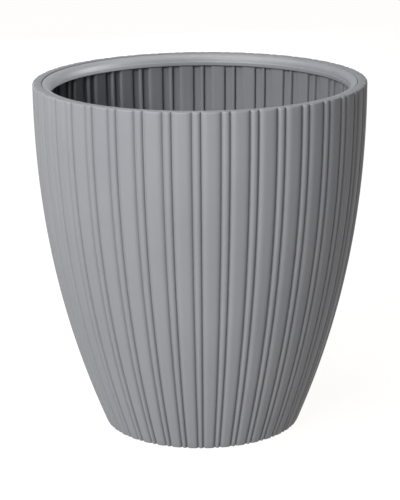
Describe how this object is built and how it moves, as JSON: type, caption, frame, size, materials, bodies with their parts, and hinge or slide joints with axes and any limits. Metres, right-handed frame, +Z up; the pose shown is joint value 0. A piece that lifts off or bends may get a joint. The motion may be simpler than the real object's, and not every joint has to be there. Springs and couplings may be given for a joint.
{
  "type": "self watering planter",
  "caption": "Round ribbed planter, wider at the rim, with a lift-out ribbed liner over a water reservoir, wicking feet, a lidded fill tube, a float gauge and a drain bung.",
  "frame": {"origin": "on the pot's axis, at the level of the ground it stands on", "axes": "+Z up along the pot's axis; the front, where the fill tube and the gauge stand just inside the rim, faces -Y"},
  "size_m": [0.3966, 0.3968, 0.4213],
  "materials": {
    "pot_grey": "smooth matte moulded plastic",
    "liner_grey": "smooth matte moulded plastic",
    "inner_black": "moulded black plastic",
    "lid_grey": "moulded dark grey plastic",
    "rubber_black": "soft black rubber",
    "gauge_clear": "clear plastic",
    "float_white": "white foam plastic",
    "marker_red": "red plastic",
    "pin_steel": "plain stainless wire"
  },
  "bodies": {
    "pot": {"outer_shell": "pot_grey"},
    "liner": {"inner_liner": "liner_grey", "separator_plate": "inner_black", "wick_foot_1": "inner_black", "wick_foot_2": "inner_black", "wick_foot_3": "inner_black", "fill_tube": "inner_black", "fill_grommet": "rubber_black", "gauge_grommet": "rubber_black", "fill_funnel": "lid_grey", "lid_pin": "pin_steel", "gauge_tube": "gauge_clear", "gauge_foot": "inner_black", "gauge_cap": "gauge_clear", "gauge_ring_min": "marker_red", "gauge_ring_max": "marker_red", "tube_tie": "inner_black", "handle_pin_left": "pin_steel", "handle_pin_right": "pin_steel"},
    "lid": {"fill_lid": "lid_grey"},
    "float": {"gauge_float": "float_white", "gauge_rod": "float_white", "gauge_tip": "marker_red"},
    "bung": {"drain_bung": "rubber_black"},
    "handle_left": {"lift_handle_left": "inner_black"},
    "handle_right": {"lift_handle_right": "inner_black"}
  },
  "joints": [
    {"name": "liner_lift", "type": "slide", "parent": "pot", "child": "liner", "axis": [0, 0, 1], "range_m": [0, 0.45]},
    {"name": "bung_pull", "type": "slide", "parent": "pot", "child": "bung", "axis": [0, 0, 1], "range_m": [0, 0.03]},
    {"name": "float_rise", "type": "slide", "parent": "liner", "child": "float", "axis": [0, 0, 1], "range_m": [0, 0.048]},
    {"name": "fill_lid_hinge", "type": "hinge", "parent": "liner", "child": "lid", "pos_m": [-0.024, -0.1225, 0.387], "axis": [1, 0, 0], "range_deg": [0, 105]},
    {"name": "handle_left_swing", "type": "hinge", "parent": "liner", "child": "handle_left", "pos_m": [-0.16, 0, 0.374], "axis": [0, -1, 0], "range_deg": [0, 160]},
    {"name": "handle_right_swing", "type": "hinge", "parent": "liner", "child": "handle_right", "pos_m": [0.16, 0, 0.374], "axis": [0, 1, 0], "range_deg": [0, 160]}
  ]
}
